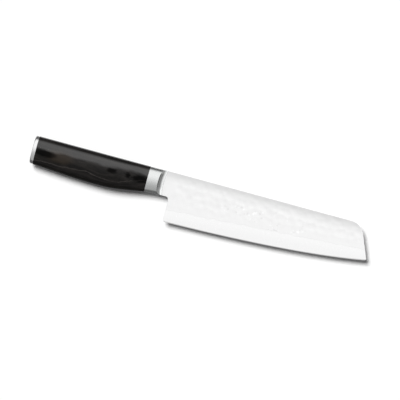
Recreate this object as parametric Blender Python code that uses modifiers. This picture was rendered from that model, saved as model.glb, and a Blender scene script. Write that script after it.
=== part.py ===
"""Santoku kitchen knife: laminated blade, forked steel bolster, wooden grip and steel end cap.

The knife lies on its left side. Inside the knife's own frame x runs from the butt to the tip, y runs up
from the cutting edge to the spine with y = 0 on the line of the spine, and z = 0 is the middle of the
blade. An empty carries that frame to the world, where the origin is the middle of the knife's footprint.
All sizes are in metres.
"""

import math

import bmesh
import bpy
from mathutils import Matrix, Vector

# Lengths along the knife, from the butt to the tip.
CAP_LENGTH = 0.0035
GRIP_LENGTH = 0.1000
BOLSTER_LENGTH = 0.0145
NECK_LENGTH = 0.0078
BLADE_LENGTH = 0.1815

# The grip's outline, shared by the cap, the wood and the bolster, which are ground flush.
BUTT_DEPTH = 0.0250
BUTT_THICKNESS = 0.0188
BELLY_DEPTH = 0.02785
BELLY_THICKNESS = 0.0206
BELLY_PLACE = 0.0648
NECK_DEPTH = 0.0219
NECK_THICKNESS = 0.0138
SECTION_FULLNESS = 2.3
CAP_EDGE_RADIUS = 0.0014

# The blade's outline.
HEEL_DEPTH = 0.0439
TIP_DEPTH = 0.0300
HEEL_LEAN = math.radians(0.9)
NOSE_LEAN = math.radians(22.3)
EDGE_SLOPE_AT_HEEL = math.radians(1.15)
EDGE_SLOPE_AT_TIP = math.radians(10.5)
SPINE_CORNER_RADIUS = 0.0137
TIP_RADIUS = 0.0015
HEEL_RADIUS = 0.0025
NECK_FILLET = 0.0030

# The blade's thickness. Each face is one flat plane, so the blade thins towards its edge and its tip.
SPINE_THICKNESS_AT_HEEL = 0.0022
SPINE_THICKNESS_AT_TIP = 0.0017
THICKNESS_BEHIND_EDGE = 0.0004
CORE_THICKNESS = 0.0007
CLADDING_END_THICKNESS = 0.00003
EDGE_BEVEL = math.radians(16.0)
EDGE_LAND = 0.00003

# The stub tang, each of whose faces tapers from the bolster on, the rod behind it and the cap's spigot.
TANG_HEIGHT = 0.012
TANG_LENGTH = 0.0225
TANG_TAPER = math.radians(0.2)
NECK_SEAT = 0.0092
ROD_DIAMETER = 0.006
FORK_LENGTH = 0.014
SPIGOT_DIAMETER = 0.010
SPIGOT_LENGTH = 0.010
BUTT_WALL = 0.0025

# The bolster's scoops: a quarter oval that rises from a thin lip on the blade, swept round a wide arc.
SCOOP_LENGTH = 0.0049
SCOOP_RISE = 0.0064
SCOOP_SWEEP = 0.045
SCOOP_LIP = 0.00015
SCOOP_LIP_WIDTH = 0.0003

# Clearances: SEAM between flat faces that are joined tight, BOND round what is glued or hidden.
SEAM = 0.00003
BOND = 0.0003

# Fineness of the facets.
RING_POINTS = 44
GRIP_STATIONS = 22
EDGE_POINTS = 28
ARC_STEP = math.radians(6.0)
ROUND_SIDES = 32
SCOOP_SIDES = 144
SCOOP_POINTS = 12

# Places along the knife.
WOOD_START = CAP_LENGTH
WOOD_END = WOOD_START + GRIP_LENGTH
BOLSTER_END = WOOD_END + BOLSTER_LENGTH
HEEL_TOP = BOLSTER_END + NECK_LENGTH
HEEL_END = HEEL_TOP - (HEEL_DEPTH - NECK_DEPTH) * math.tan(HEEL_LEAN)
TIP_END = HEEL_END + BLADE_LENGTH
NECK_START = BOLSTER_END - NECK_SEAT
TANG_END = WOOD_END - TANG_LENGTH
TANG_AXIS = -NECK_DEPTH / 2
BOLSTER_FRONT = BOLSTER_END + SCOOP_LIP_WIDTH + SCOOP_SWEEP - math.sqrt(SCOOP_SWEEP ** 2 - TANG_AXIS ** 2)
TAPER_START = BOLSTER_FRONT + SEAM
PAST = 0.002  # how far a cutter runs past what it cuts

CORE_HALF = CORE_THICKNESS / 2
JACKET_INNER = CORE_HALF + SEAM

# Slopes of the blade's right face: how fast half the thickness shrinks towards the tip and the edge.
TAPER_ALONG = (SPINE_THICKNESS_AT_HEEL - SPINE_THICKNESS_AT_TIP) / 2 / BLADE_LENGTH
TAPER_DOWN = (SPINE_THICKNESS_AT_HEEL - THICKNESS_BEHIND_EDGE) / 2 / HEEL_DEPTH

STEEL_SATIN = ("satin_steel", (0.62, 0.63, 0.63), 0.32, 1.0)
STEEL_POLISHED = ("polished_steel", (0.74, 0.75, 0.75), 0.16, 1.0)
STEEL_LAYERED = ("layered_steel", (0.78, 0.78, 0.78), 0.30, 1.0)
STEEL_EDGE = ("hard_steel", (0.70, 0.71, 0.72), 0.22, 1.0)
STEEL_PLAIN = ("plain_steel", (0.42, 0.42, 0.42), 0.45, 1.0)
WOOD_DARK = ("laminated_wood", (0.022, 0.019, 0.018), 0.28, 0.0)


def clear_scene():
    for thing in list(bpy.data.objects):
        bpy.data.objects.remove(thing, do_unlink=True)


def new_collection(name, hidden=False):
    collection = bpy.data.collections.new(name)
    bpy.context.scene.collection.children.link(collection)
    collection.hide_render = hidden
    return collection


def new_object(name, mesh, collection, frame):
    made = bpy.data.objects.new(name, mesh)
    collection.objects.link(made)
    made.parent = frame
    return made


def give_material(part, finish):
    name, colour, roughness, metallic = finish
    material = bpy.data.materials.get(name) or bpy.data.materials.new(name)
    material.use_nodes = True
    shader = material.node_tree.nodes["Principled BSDF"]
    shader.inputs["Base Color"].default_value = (*colour, 1.0)
    shader.inputs["Roughness"].default_value = roughness
    shader.inputs["Metallic"].default_value = metallic
    part.data.materials.clear()
    part.data.materials.append(material)


def smooth(part, angle=math.radians(30.0)):
    part.data.shade_smooth()
    part.data.set_sharp_from_angle(angle=angle)


def boolean(part, operation, tool):
    modifier = part.modifiers.new(f"{operation.lower()} {tool.name}", "BOOLEAN")
    modifier.operation = operation
    modifier.object = tool
    modifier.solver = "EXACT"


def mark_as_cutter(cutter):
    cutter.hide_render = True
    cutter.display_type = "WIRE"
    return cutter


# The grip: one flowing form that the cap, the wood and the bolster share.

def grip_blend(x, butt, belly, neck):
    """A size of the grip's section at x: it swells in a quarter wave, then falls in a half wave."""
    if x < BELLY_PLACE:
        return butt + (belly - butt) * math.sin(math.pi / 2 * x / BELLY_PLACE)
    fall = (x - BELLY_PLACE) / (BOLSTER_END - BELLY_PLACE)
    return neck + (belly - neck) * (1 + math.cos(math.pi * min(fall, 1.0))) / 2


def grip_ring(x, inset=0.0):
    """Points of the grip's oval section at x, with its top on the line of the spine."""
    half_depth = grip_blend(x, BUTT_DEPTH, BELLY_DEPTH, NECK_DEPTH) / 2
    half_thickness = grip_blend(x, BUTT_THICKNESS, BELLY_THICKNESS, NECK_THICKNESS) / 2
    power = 2 / SECTION_FULLNESS
    ring = []
    for step in range(RING_POINTS):
        angle = 2 * math.pi * step / RING_POINTS
        across = math.copysign(abs(math.cos(angle)) ** power, math.cos(angle))
        up = math.copysign(abs(math.sin(angle)) ** power, math.sin(angle))
        y = up * (half_depth - inset) - half_depth
        z = across * (half_thickness - inset)
        ring.append(Vector((x, y, z)))
    return ring


def loft(name, rings, collection, frame):
    """A closed body through a row of rings that have the same number of points."""
    shape = bmesh.new()
    rows = [[shape.verts.new(point) for point in ring] for ring in rings]
    for row, following in zip(rows, rows[1:]):
        for place in range(len(row)):
            after = (place + 1) % len(row)
            shape.faces.new((row[place], row[after], following[after], following[place]))
    shape.faces.new(reversed(rows[0]))
    shape.faces.new(rows[-1])
    bmesh.ops.recalc_face_normals(shape, faces=shape.faces)
    mesh = bpy.data.meshes.new(name)
    shape.to_mesh(mesh)
    shape.free()
    return new_object(name, mesh, collection, frame)


def grip_rings(start, end, stations):
    return [grip_ring(start + (end - start) * step / stations) for step in range(stations + 1)]


# The blade: two planes, a curved edge and an outline.

def half_thickness(x, y):
    """Half the blade's thickness at a point of its outline, or the tang's behind the bolster's front."""
    flat = SPINE_THICKNESS_AT_HEEL / 2 - TAPER_ALONG * (x - HEEL_TOP) + TAPER_DOWN * y
    return flat + math.tan(TANG_TAPER) * min(x - TAPER_START, 0.0)


def edge_curve():
    """Points along the cutting edge from the tip to the heel: one bend between its two end slopes."""
    tip = Vector((TIP_END, -TIP_DEPTH))
    heel = Vector((HEEL_END, -HEEL_DEPTH))
    rise_at_tip = math.tan(EDGE_SLOPE_AT_TIP)
    rise_at_heel = math.tan(EDGE_SLOPE_AT_HEEL)
    bend_x = (tip.y - heel.y - rise_at_tip * tip.x + rise_at_heel * heel.x) / (rise_at_heel - rise_at_tip)
    bend = Vector((bend_x, heel.y + rise_at_heel * (bend_x - heel.x)))
    points = []
    for step in range(EDGE_POINTS + 1):
        part = step / EDGE_POINTS
        points.append(tip * (1 - part) ** 2 + bend * 2 * part * (1 - part) + heel * part ** 2)
    return points


def jacket_depth(x):
    """How far below the spine the jackets end, because the ground face has thinned them away."""
    return (half_thickness(x, 0.0) - JACKET_INNER - CLADDING_END_THICKNESS) / TAPER_DOWN


def lamination_line():
    """The jackets' lower end, from the nose to the heel. It is straight, as both faces are planes."""
    return [Vector((x, -jacket_depth(x))) for x in (TIP_END, HEEL_END)]


def rounded(corners):
    """An outline's points, with each corner (x, y, radius) that has a radius turned into an arc."""
    points = []
    for place, (x, y, radius) in enumerate(corners):
        corner = Vector((x, y))
        if not radius:
            points.append(corner)
            continue
        before = (Vector(corners[place - 1][:2]) - corner).normalized()
        after = (Vector(corners[(place + 1) % len(corners)][:2]) - corner).normalized()
        half_angle = before.angle(after) / 2
        centre = corner + (before + after).normalized() * radius / math.sin(half_angle)
        start = corner + before * radius / math.tan(half_angle) - centre
        turn = start.angle_signed(corner + after * radius / math.tan(half_angle) - centre)
        steps = max(2, math.ceil(abs(turn) / ARC_STEP))
        for step in range(steps + 1):
            points.append(centre + Matrix.Rotation(-turn * step / steps, 2) @ start)
    return points


def blade_outline(lower_edge, tip_radius=0.0, heel_radius=0.0):
    """One layer of the blade seen from the side: spine, nose, lower edge, heel, neck and stub tang.

    The radii round the lower corners. A jacket runs out on the core before them, so its own stay square.
    """
    nose_top = TIP_END - TIP_DEPTH * math.tan(NOSE_LEAN)
    nose_low = lower_edge[0].y
    heel_low = lower_edge[-1].y
    nose_x = nose_top - nose_low * math.tan(NOSE_LEAN)
    heel_x = HEEL_TOP + (heel_low + NECK_DEPTH) * math.tan(HEEL_LEAN)
    tang_top = TANG_AXIS + TANG_HEIGHT / 2
    tang_bottom = TANG_AXIS - TANG_HEIGHT / 2
    corners = [(TANG_END, tang_top, 0), (NECK_START, tang_top, 0), (NECK_START, 0.0, 0)]
    corners += [(nose_top, 0.0, SPINE_CORNER_RADIUS), (nose_x, nose_low, tip_radius)]
    corners += [(point.x, point.y, 0) for point in lower_edge[1:-1]]
    corners += [(heel_x, heel_low, heel_radius), (HEEL_TOP, -NECK_DEPTH, NECK_FILLET)]
    corners += [(NECK_START, -NECK_DEPTH, 0), (NECK_START, tang_bottom, 0), (TANG_END, tang_bottom, 0)]
    return rounded(corners)


def flat_plate(name, outline, z_low, z_high, collection, frame):
    """A plate of the outline's shape, made as a filled 2D curve and turned into a welded mesh."""
    curve = bpy.data.curves.new(name, "CURVE")
    curve.dimensions = "2D"
    curve.fill_mode = "BOTH"
    curve.extrude = (z_high - z_low) / 2
    spline = curve.splines.new("POLY")
    spline.points.add(len(outline) - 1)
    for point, place in zip(spline.points, outline):
        point.co = (place.x, place.y, 0.0, 1.0)
    spline.use_cyclic_u = True
    drawn = bpy.data.objects.new(f"{name}_outline", curve)
    collection.objects.link(drawn)
    bpy.context.view_layer.update()
    mesh = bpy.data.meshes.new_from_object(drawn.evaluated_get(bpy.context.evaluated_depsgraph_get()))
    bpy.data.objects.remove(drawn, do_unlink=True)
    bpy.data.curves.remove(curve)
    mesh.name = name
    shape = bmesh.new()
    shape.from_mesh(mesh)
    bmesh.ops.translate(shape, verts=shape.verts, vec=(0.0, 0.0, (z_low + z_high) / 2))
    bmesh.ops.remove_doubles(shape, verts=shape.verts, dist=1e-7)
    bmesh.ops.recalc_face_normals(shape, faces=shape.faces)
    shape.to_mesh(mesh)
    shape.free()
    return new_object(name, mesh, collection, frame)


def blade_wedge(name, x_range, y_range, margin, collection, frame):
    """A box whose right and left faces are the blade's and the tang's faces, moved out by a margin."""
    shape = bmesh.new()
    bmesh.ops.create_cube(shape, size=2.0)
    for corner in shape.verts:
        corner.co.x = x_range[0] if corner.co.x < 0 else x_range[1]
        corner.co.y = y_range[0] if corner.co.y < 0 else y_range[1]
    bmesh.ops.bisect_plane(shape, geom=shape.verts[:] + shape.edges[:] + shape.faces[:],
                           plane_co=(TAPER_START, 0.0, 0.0), plane_no=(1.0, 0.0, 0.0))
    for corner in shape.verts:
        side = math.copysign(1.0, corner.co.z)
        corner.co.z = side * (half_thickness(corner.co.x, corner.co.y) + margin)
    mesh = bpy.data.meshes.new(name)
    shape.to_mesh(mesh)
    shape.free()
    return mark_as_cutter(new_object(name, mesh, collection, frame))


def edge_grind(name, collection, frame):
    """A long trough-like body that narrows to the cutting edge and bevels the core on both sides."""
    reach = THICKNESS_BEHIND_EDGE * 4
    rise = reach / math.tan(EDGE_BEVEL)
    edge = edge_curve()
    past_tip = edge[0] + (edge[0] - edge[1]).normalized() * PAST
    past_heel = Vector((TANG_END - PAST, edge[-1].y))
    rings = []
    for point in [past_tip] + edge + [past_heel]:
        apex = point.y - EDGE_LAND / 2 / math.tan(EDGE_BEVEL)
        section = [(apex, 0.0), (apex + rise, reach), (PAST, reach), (PAST, -reach), (apex + rise, -reach)]
        rings.append([Vector((point.x, y, z)) for y, z in section])
    return mark_as_cutter(loft(name, rings, collection, frame))


# Round pieces and their cutters.

def rod_along(name, start, end, diameter, collection, frame):
    """A round bar along the tang's axis, with a flat of its facets facing each side."""
    turn = Matrix.Rotation(math.pi / 2, 4, "Y") @ Matrix.Rotation(math.pi / ROUND_SIDES, 4, "Z")
    place = Matrix.Translation(((start + end) / 2, TANG_AXIS, 0.0)) @ turn
    shape = bmesh.new()
    bmesh.ops.create_cone(shape, cap_ends=True, segments=ROUND_SIDES, radius1=diameter / 2,
                          radius2=diameter / 2, depth=end - start, matrix=place)
    mesh = bpy.data.meshes.new(name)
    shape.to_mesh(mesh)
    shape.free()
    return new_object(name, mesh, collection, frame)


def scoop_cutter(name, side, collection, frame):
    """A turned cutter whose rim is the scoop's round: it stands on the blade's face, tilted with it."""
    top = NECK_THICKNESS
    foot = SCOOP_SWEEP - SCOOP_LIP_WIDTH
    profile = [(0.0, top), (SCOOP_SWEEP + SCOOP_LENGTH, top)]
    for step in range(SCOOP_POINTS + 1):
        angle = math.pi / 2 * step / SCOOP_POINTS
        radius = SCOOP_SWEEP + SCOOP_LENGTH * math.cos(angle)
        profile.append((radius, SCOOP_LIP + SCOOP_RISE * (1 - math.sin(angle))))
    profile += [(foot, SCOOP_LIP), (foot, -BOND), (0.0, -BOND)]
    mesh = bpy.data.meshes.new(name)
    edges = [(place, place + 1) for place in range(len(profile) - 1)]
    mesh.from_pydata([(radius, 0.0, height) for radius, height in profile], edges, [])
    cutter = new_object(name, mesh, collection, frame)
    screw = cutter.modifiers.new("turned", "SCREW")
    screw.steps = SCOOP_SIDES
    screw.render_steps = SCOOP_SIDES
    screw.use_merge_vertices = True
    screw.merge_threshold = 1e-6
    x = BOLSTER_END + SCOOP_SWEEP
    y = -NECK_DEPTH / 2
    face_normal = Vector((TAPER_ALONG, -TAPER_DOWN, 1.0))
    if side < 0:
        face_normal.z = -1.0
    cutter.rotation_mode = "QUATERNION"
    cutter.rotation_quaternion = Vector((0.0, 0.0, 1.0)).rotation_difference(face_normal)
    cutter.location = (x, y, side * half_thickness(x, y))
    return mark_as_cutter(cutter)


# The sub-parts.

def make_blade(parts, tools, frame):
    wedge_range = (TANG_END - PAST, TIP_END + PAST)
    wedge = blade_wedge("blade_faces", wedge_range, (-HEEL_DEPTH - PAST, PAST), 0.0, tools, frame)
    core_outline = blade_outline(edge_curve(), TIP_RADIUS, HEEL_RADIUS)
    core = flat_plate("blade_core", core_outline, -CORE_HALF, CORE_HALF, parts, frame)
    boolean(core, "INTERSECT", wedge)
    boolean(core, "INTERSECT", edge_grind("edge_bevels", tools, frame))
    give_material(core, STEEL_EDGE)
    jacket_outline = blade_outline(lamination_line())
    outer = SPINE_THICKNESS_AT_HEEL
    right = flat_plate("right_cladding", jacket_outline, JACKET_INNER, outer, parts, frame)
    left = flat_plate("left_cladding", jacket_outline, -outer, -JACKET_INNER, parts, frame)
    for jacket in (right, left):
        boolean(jacket, "INTERSECT", wedge)
        give_material(jacket, STEEL_LAYERED)


def make_bolster(parts, tools, frame):
    bolster = loft("bolster", grip_rings(WOOD_END, BOLSTER_FRONT, 8), parts, frame)
    seat = (NECK_START - SEAM, HEEL_TOP)
    tang_start = (WOOD_END - PAST, NECK_START + PAST)
    tang_sides = (TANG_AXIS - TANG_HEIGHT / 2 - BOND, TANG_AXIS + TANG_HEIGHT / 2 + BOND)
    socket = blade_wedge("neck_socket", seat, (-BELLY_DEPTH, PAST), SEAM, tools, frame)
    slot = blade_wedge("tang_slot", tang_start, tang_sides, BOND, tools, frame)
    right_scoop = scoop_cutter("right_scoop", 1, tools, frame)
    left_scoop = scoop_cutter("left_scoop", -1, tools, frame)
    for cutter in (socket, slot, right_scoop, left_scoop):
        boolean(bolster, "DIFFERENCE", cutter)
    give_material(bolster, STEEL_SATIN)
    smooth(bolster)


def make_tang_rod(parts, tools, frame):
    rod = rod_along("tang_rod", BUTT_WALL + BOND, TANG_END + FORK_LENGTH, ROD_DIAMETER, parts, frame)
    fork_length = (TANG_END - BOND, TANG_END + FORK_LENGTH + PAST)
    fork_height = (TANG_AXIS - ROD_DIAMETER, TANG_AXIS + ROD_DIAMETER)
    boolean(rod, "DIFFERENCE", blade_wedge("rod_fork", fork_length, fork_height, SEAM, tools, frame))
    give_material(rod, STEEL_PLAIN)
    smooth(rod)


def make_handle(parts, tools, frame):
    rings = grip_rings(WOOD_START + SEAM, WOOD_END - SEAM, GRIP_STATIONS)
    handle = loft("handle", rings, parts, frame)
    bore_end = TANG_END + FORK_LENGTH + BOND
    bore = rod_along("rod_bore", WOOD_START - PAST, bore_end, ROD_DIAMETER + 2 * BOND, tools, frame)
    recess_end = WOOD_START + SPIGOT_LENGTH + BOND
    recess_diameter = SPIGOT_DIAMETER + 2 * BOND
    recess = rod_along("spigot_recess", WOOD_START - PAST, recess_end, recess_diameter, tools, frame)
    slot_length = (TANG_END - BOND, WOOD_END + PAST)
    slot_height = (TANG_AXIS - TANG_HEIGHT / 2 - BOND, TANG_AXIS + TANG_HEIGHT / 2 + BOND)
    slot = blade_wedge("tang_mortise", slot_length, slot_height, BOND, tools, frame)
    for cutter in (bore, recess, slot):
        boolean(handle, "DIFFERENCE", mark_as_cutter(cutter))
    give_material(handle, WOOD_DARK)
    smooth(handle)


def make_end_cap(parts, tools, frame):
    rings = []
    steps = 4
    for step in range(steps + 1):
        angle = math.pi / 2 * step / steps
        x = CAP_EDGE_RADIUS * (1 - math.cos(angle))
        rings.append(grip_ring(x, inset=CAP_EDGE_RADIUS * (1 - math.sin(angle))))
    rings.append(grip_ring(CAP_LENGTH))
    cap = loft("end_cap", rings, parts, frame)
    spigot_end = CAP_LENGTH + SPIGOT_LENGTH
    spigot = rod_along("spigot", CAP_LENGTH - PAST / 2, spigot_end, SPIGOT_DIAMETER, tools, frame)
    hole = rod_along("rod_hole", BUTT_WALL, spigot_end + PAST, ROD_DIAMETER + 2 * SEAM, tools, frame)
    boolean(cap, "UNION", mark_as_cutter(spigot))
    boolean(cap, "DIFFERENCE", mark_as_cutter(hole))
    give_material(cap, STEEL_POLISHED)
    smooth(cap)


def main():
    clear_scene()
    parts = new_collection("santoku_knife")
    tools = new_collection("cutters", hidden=True)
    frame = bpy.data.objects.new("knife_frame", None)
    parts.objects.link(frame)
    outline = blade_outline(edge_curve(), TIP_RADIUS, HEEL_RADIUS)
    reach = max(point.x for point in outline)
    depth = -min(point.y for point in outline)
    frame.location = (-reach / 2, depth / 2, BELLY_THICKNESS / 2)
    make_blade(parts, tools, frame)
    make_bolster(parts, tools, frame)
    make_tang_rod(parts, tools, frame)
    make_handle(parts, tools, frame)
    make_end_cap(parts, tools, frame)
    bpy.context.view_layer.update()


main()
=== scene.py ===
"""Finish of a santoku knife: hammered layered steel, satin steel, dark laminated wood and a plain studio.

The knife lies on its left side. X runs from the butt to the tip, Y from the cutting edge to the spine and
Z out of the blade's right face. Sizes are in metres.
"""

import math
import random

import bmesh
import bpy
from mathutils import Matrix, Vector, kdtree


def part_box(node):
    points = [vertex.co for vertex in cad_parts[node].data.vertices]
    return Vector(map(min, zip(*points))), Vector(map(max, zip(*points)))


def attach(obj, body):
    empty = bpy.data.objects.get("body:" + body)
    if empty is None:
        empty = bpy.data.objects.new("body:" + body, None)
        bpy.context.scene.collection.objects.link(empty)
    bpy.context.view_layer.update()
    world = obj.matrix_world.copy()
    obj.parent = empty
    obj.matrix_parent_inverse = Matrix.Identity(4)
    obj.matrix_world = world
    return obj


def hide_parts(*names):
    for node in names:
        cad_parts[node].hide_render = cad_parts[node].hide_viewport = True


bl_info = {
    "name": "Santoku Knife Finish",
    "version": (1, 0, 0),
    "blender": (4, 5, 0),
    "location": "View3D > Sidebar > Knife",
    "description": "Finishes the solid parts of a santoku knife and lights it in a plain studio",
    "category": "Object",
}

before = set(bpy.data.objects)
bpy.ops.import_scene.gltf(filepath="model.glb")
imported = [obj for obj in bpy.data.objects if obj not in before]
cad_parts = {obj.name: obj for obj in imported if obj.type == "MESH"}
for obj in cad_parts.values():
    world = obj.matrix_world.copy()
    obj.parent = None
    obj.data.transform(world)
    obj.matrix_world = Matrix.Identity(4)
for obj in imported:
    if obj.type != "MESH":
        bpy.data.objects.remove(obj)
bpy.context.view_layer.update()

BUTT_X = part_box("end_cap")[0].x
SPINE_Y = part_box("blade_core")[1].y
MIDDLE_Z = (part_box("blade_core")[0].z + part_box("blade_core")[1].z) / 2

# The grip's oval section, depth by thickness, at the butt, the belly and the neck.
BUTT_SIZE = (0.0250, 0.0188)
BELLY_SIZE = (0.02785, 0.0206)
NECK_SIZE = (0.0219, 0.0138)
BELLY_PLACE = 0.0648
CAP_LENGTH = 0.0035
SECTION_FULLNESS = 2.3
BUTT_ROUND = 0.0014

# Places on the blade, along the knife from the butt and down from the spine.
BOLSTER_END = 0.1180
BOLSTER_FRONT = 0.1197
HEEL_TOP = 0.1258
HEEL_END = 0.12545
TIP_END = 0.30695
JACKET_DEPTH_AT_HEEL = 0.03368
JACKET_DEPTH_AT_TIP = 0.02149

# Each scoop of the bolster is a quarter oval, swept round an arc that stands on the blade's flat.
SCOOP_LENGTH = 0.0049
SCOOP_RISE = 0.0064
SCOOP_SWEEP = 0.045
SCOOP_LIP = 0.00015

# The cutting bevel meets the core's flat at a little more than this angle, and the outline's arcs at less.
BEVEL_CREASE = math.radians(13.5)

# Neighbours on one ground face of the blade differ by less than this angle.
GROUND_FLAT = math.radians(0.2)

# Places along the knife that differ by less than this are the same.
SAME_PLACE = 1e-5

# How far out the corners of the grip's outside and of its rims lie at least, as a share of the oval's reach.
OUTSIDE_REACH = 0.985
RIM_REACH = 0.99

# A face looks out of the grip or out of the blade if its normal leans that way by more than this share.
OUT_OF_GRIP = 0.75
OUT_OF_BLADE = 0.9

# Corners are eased where their two faces meet at more than these angles.
RIM_ANGLE = math.radians(45.0)
SPINE_ANGLE = math.radians(60.0)

# A face of the bolster belongs to a scoop if its corners lie this close to the scoop's true surface, and
# past the scoop's lip by no more than this share of its length.
SCOOP_FACET_DEPTH = 5e-5
SCOOP_LIP_SLACK = 0.01

# Marks on the bolster's faces while it is shaped. The first one stays as the material slot of the scoops.
ON_SCOOP = 1
ON_OVAL = 2

# How often a corner on a ridge moves between the oval and the scoop, which brings it onto both.
RIDGE_TURNS = 4

# The jackets are cut into rows between these depths below the spine.
ROWS_START = 0.0004
ROWS_END = 0.045

# The first row of hammer marks below the spine, and the distance of the rows, in spacings of the marks.
FIRST_ROW = 0.35
ROW_DISTANCE = 0.87

# By what share the marks' sizes vary, by what share of their spacing they are moved out of their rows,
# and how much of the jacket's wall a mark takes at most.
MARK_SPREAD = 0.25
MARK_SHAKE = 0.3
MARK_WALL_SHARE = 0.4

# The marks are shallower this close to the jacket's border and to the heel.
BORDER_FADE = 0.003
HEEL_FADE = 0.004

# Where painted glints stand among the hammer marks: along, down, out of the middle plane, and the half sizes.
GLINT_PLACE = (0.213, 0.0205, 0.0, (0.050, 0.012, 1.0))

# Painted shade: the layered steel's tone, darker towards the spine, from the spine to SHADE_DEPTH below it.
SHADE_DEPTH = 0.012
SPINE_PAINTED_SHADE = ((0.0, 0.80), (0.142, 0.80), (0.29, 0.845), (0.433, 0.91), (0.583, 0.945), (0.725, 0.972),
               (1.0, 0.985))

# Painted shade on a scoop: its tone, from its lip on the blade to its ridge.
SCOOP_PAINTED_SHADE = ((0.0, 1.0), (0.10, 0.97), (0.17, 0.84), (0.32, 0.52), (0.47, 0.41), (0.66, 0.375),
               (0.85, 0.25), (1.0, 0.18))

# Where a scoop's painted shade gets lighter beside its middle, towards the edge and towards the spine.
SCOOP_EDGE_FADE = (-0.0040, -0.0075)
SCOOP_SPINE_FADE = (0.0045, 0.0085)

# The weld line's wander, as slope and base of a noise, and how far to each side jacket and core blend.
# Then the seam on that line: how far out it fades away, its strength and its colour.
WELD_WANDER = (0.0052, -0.0032)
WELD_BLEND = 0.00012
SEAM_FADE = (0.00006, 0.0003)
SEAM_STRENGTH = 0.12
SEAM_COLOUR = (0.45, 0.45, 0.45)

# Colour of the tang rod.
DRAWN_STEEL = (0.42, 0.42, 0.42)

# The wood's knots and its brown patch: along, down, out of the middle plane, and the half sizes.
KNOTS = (
    (0.0116, 0.0136, 0.0088, (0.0118, 0.0034, 0.009)),
    (0.0716, 0.0126, 0.0095, (0.0062, 0.0024, 0.009)),
    (0.0868, 0.0128, 0.0090, (0.0034, 0.0024, 0.009)),
    (0.0978, 0.0134, 0.0080, (0.0084, 0.0031, 0.008)),
    (0.0298, 0.0150, -0.0095, (0.0085, 0.0026, 0.009)),
    (0.0778, 0.0105, -0.0090, (0.0062, 0.0024, 0.009)),
)
BROWN_PLACE = (0.0250, 0.0135, 0.0095, (0.0130, 0.0062, 0.010))
KNOT_COLOUR = (0.0012, 0.0011, 0.0011)
BROWN_COLOUR = (0.034, 0.025, 0.017)

# Course of the pale line, a pale layer and a painted highlight along the grip's lower side, from the butt to
# the bolster, as a share of the belly's depth. Then its wander, how far from its middle it begins and is
# full, and where along the wood it gets faint.
PALE_COURSE = ((0.02, 0.755), (0.19, 0.752), (0.424, 0.692), (0.50, 0.735), (0.58, 0.785), (0.678, 0.748),
               (0.735, 0.640), (0.865, 0.490))
PALE_WANDER = 0.0040
PALE_FADE = (0.00055, 0.0001)
PALE_END = (0.086, 0.094)
PALE_HIGHLIGHT_COLOUR = (0.050, 0.045, 0.042)

# The wood's polish, by depth below the spine. It is rubbed thin from RUBBED_START to RUBBED_END and ends
# across COAT_BORDER, which wanders, and rises by COAT_RISE along COAT_RISE_PLACE towards the bolster.
RUBBED_START = (0.0004, 0.0012)
RUBBED_END = (0.0026, 0.0044)
COAT_BORDER = (0.0082, 0.0118)
COAT_WANDER = (0.0070, -0.0035)
COAT_RISE = 0.0013
COAT_RISE_PLACE = (0.0638, 0.0938)

# The dark cards: name, side, the near edge's distance from the knife's middle and its slant, and the far
# edge's height. Then how far both reach out, and how high their near edges lie.
CARDS = (("spine_card", 1, 0.035, 0.0, 0.158), ("edge_card", -1, 0.0018, -0.069, 0.15))
CARD_REACH = 0.62
CARD_FOOT = 0.0012

# The dome's bright patches: the direction of each one's middle, and its brightness by the angle from there
# in half turns. The main one leans to the spine's side, the others beyond the tip and beyond the butt.
MAIN_TILT = math.radians(32.0)
TIP_TILT = math.radians(40.0)
DOME_PATCHES = (
    ((-0.05, math.sin(MAIN_TILT), math.cos(MAIN_TILT)),
     ((0.0, 1.0), (0.145, 1.0), (0.172, 0.86), (0.206, 0.644), (0.261, 0.504), (0.328, 0.444), (0.417, 0.415),
      (0.567, 0.333))),
    ((math.sin(TIP_TILT), 0.0, math.cos(TIP_TILT)),
     ((0.0, 1.0), (0.06, 1.0), (0.12, 0.78), (0.18, 0.52), (0.25, 0.30))),
    ((-0.76, 0.34, 0.56),
     ((0.0, 1.0), (0.09, 1.0), (0.14, 0.7), (0.19, 0.40))),
)

# The stage: the floor, the direction of the lamp's rays and the point that the camera looks down on.
WHITE = (1.0, 1.0, 1.0)
FLOOR_GREY = (0.8, 0.8, 0.8)
FLOOR_RADIUS = 14.0
FLOOR_GLOW = 0.03
LAMP_RAYS = (0.41, -0.32, -1.0)
CAMERA_X = -0.000481
CAMERA_Y = 0.00482


class KnifeBladeSettings(bpy.types.PropertyGroup):
    """Sizes and colours of the blade's finish."""

    grid_step: bpy.props.FloatProperty(
        name="Mesh step", description="Spacing of the cuts across the blade's faces",
        default=0.0009, min=0.0004, max=0.004, unit="LENGTH", precision=5)
    rim_ease: bpy.props.FloatProperty(
        name="Spine easing", description="Width of the eased corner along the spine",
        default=0.00012, min=0.00002, max=0.0003, unit="LENGTH", precision=5)
    dimple_spacing: bpy.props.FloatProperty(
        name="Dimple spacing", description="Mean distance between hammer marks",
        default=0.0068, min=0.003, max=0.02, unit="LENGTH", precision=4)
    dimple_radius: bpy.props.FloatProperty(
        name="Dimple radius", description="Mean radius of a hammer mark",
        default=0.0040, min=0.001, max=0.01, unit="LENGTH", precision=4)
    dimple_depth: bpy.props.FloatProperty(
        name="Dimple depth", description="Depth of a hammer mark where the jacket is thick",
        default=0.00010, min=0.0, max=0.0003, unit="LENGTH", precision=5)
    layer_spacing: bpy.props.FloatProperty(
        name="Layer spacing", description="Distance between the etched layer lines",
        default=0.0007, min=0.0002, max=0.005, unit="LENGTH", precision=5)
    layered_colour: bpy.props.FloatVectorProperty(
        name="Layered steel", description="Colour of the layered jackets",
        subtype="COLOR", size=3, default=(0.89, 0.89, 0.89), min=0.0, max=1.0)
    edge_colour: bpy.props.FloatVectorProperty(
        name="Edge steel", description="Colour of the hard core",
        subtype="COLOR", size=3, default=(0.89, 0.89, 0.89), min=0.0, max=1.0)


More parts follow.
